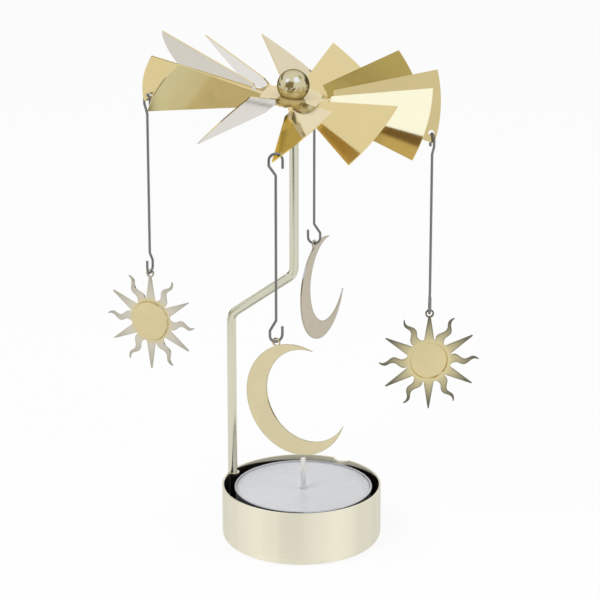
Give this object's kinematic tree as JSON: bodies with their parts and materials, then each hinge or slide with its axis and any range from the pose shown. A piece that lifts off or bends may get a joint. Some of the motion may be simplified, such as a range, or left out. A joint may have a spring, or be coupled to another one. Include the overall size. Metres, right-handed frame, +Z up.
{
  "type": "candle carousel",
  "caption": "Tealight carousel: a twisted-blade fan balances on a needle above a candle tray, and turns hanging suns and crescent moons on wire hangers.",
  "frame": {"origin": "centre of the tray's flat underside, which stands on the table", "axes": "+Z up; +X to the right as pictured; the viewer stands at -Y"},
  "size_m": [0.1013, 0.1044, 0.141],
  "materials": {
    "tray_brass": "satin plated",
    "post_brass": "satin plated",
    "fan_brass": "bright plated",
    "knob_brass": "polished",
    "washer_brass": "satin",
    "pendant_brass": "satin plated",
    "hanger_wire": "drawn wire",
    "candle_cup": "pressed foil",
    "candle_wax": "smooth paraffin",
    "candle_wick": "braided cotton",
    "wick_tin": "tinned"
  },
  "bodies": {
    "stand": {"tealight_tray": "tray_brass", "needle_post": "post_brass"},
    "tealight": {"tealight_cup": "candle_cup", "tealight_wax": "candle_wax", "wick_sustainer": "wick_tin", "tealight_wick": "candle_wick"},
    "rotor": {"rotor_fan": "fan_brass", "ball_knob": "knob_brass", "hub_washer": "washer_brass"},
    "hanging_right": {"hanger_right": "hanger_wire"},
    "pendant_right": {"sun_right": "pendant_brass"},
    "hanging_back": {"hanger_back": "hanger_wire"},
    "pendant_back": {"moon_back": "pendant_brass"},
    "hanging_left": {"hanger_left": "hanger_wire"},
    "pendant_left": {"sun_left": "pendant_brass"},
    "hanging_front": {"hanger_front": "hanger_wire"},
    "pendant_front": {"moon_front": "pendant_brass"}
  },
  "joints": [
    {"name": "tealight_lift", "type": "slide", "parent": "stand", "child": "tealight", "axis": [0, 0, 1], "range_m": [0, 0.03]},
    {"name": "rotor_spin", "type": "hinge", "parent": "stand", "child": "rotor", "pos_m": [-0.002, 0, 0.1302], "axis": [0, 0, 1], "continuous": true},
    {"name": "right_hanger_swing", "type": "hinge", "parent": "rotor", "child": "hanging_right", "pos_m": [0.03429, -0.0014, 0.1157], "axis": [0.2336, -0.9723, 0], "range_deg": [-8, 30]},
    {"name": "right_sun_swing", "type": "hinge", "parent": "hanging_right", "child": "pendant_right", "pos_m": [0.03452, -0.00235, 0.0661], "axis": [-0.113, -0.9936, 0], "range_deg": [-25, 25]},
    {"name": "back_hanger_swing", "type": "hinge", "parent": "rotor", "child": "hanging_back", "pos_m": [0.0026, 0.03778, 0.12296], "axis": [0.9983, 0.0579, 0], "range_deg": [-8, 30]},
    {"name": "back_moon_swing", "type": "hinge", "parent": "hanging_back", "child": "pendant_back", "pos_m": [0.00358, 0.03784, 0.07336], "axis": [0.9793, -0.2024, 0], "range_deg": [-25, 25]},
    {"name": "left_hanger_swing", "type": "hinge", "parent": "rotor", "child": "hanging_left", "pos_m": [-0.04051, 0.00326, 0.12502], "axis": [-0.4738, 0.8806, 0], "range_deg": [-8, 30]},
    {"name": "left_sun_swing", "type": "hinge", "parent": "hanging_left", "child": "pendant_left", "pos_m": [-0.04097, 0.00412, 0.07542], "axis": [0.37, 0.929, 0], "range_deg": [-25, 25]},
    {"name": "front_hanger_swing", "type": "hinge", "parent": "rotor", "child": "hanging_front", "pos_m": [-0.00555, -0.03739, 0.11977], "axis": [-0.9971, -0.0758, 0], "range_deg": [-8, 30]},
    {"name": "front_moon_swing", "type": "hinge", "parent": "hanging_front", "child": "pendant_front", "pos_m": [-0.00653, -0.03746, 0.07017], "axis": [-0.9111, -0.4122, 0], "range_deg": [-25, 25]}
  ]
}
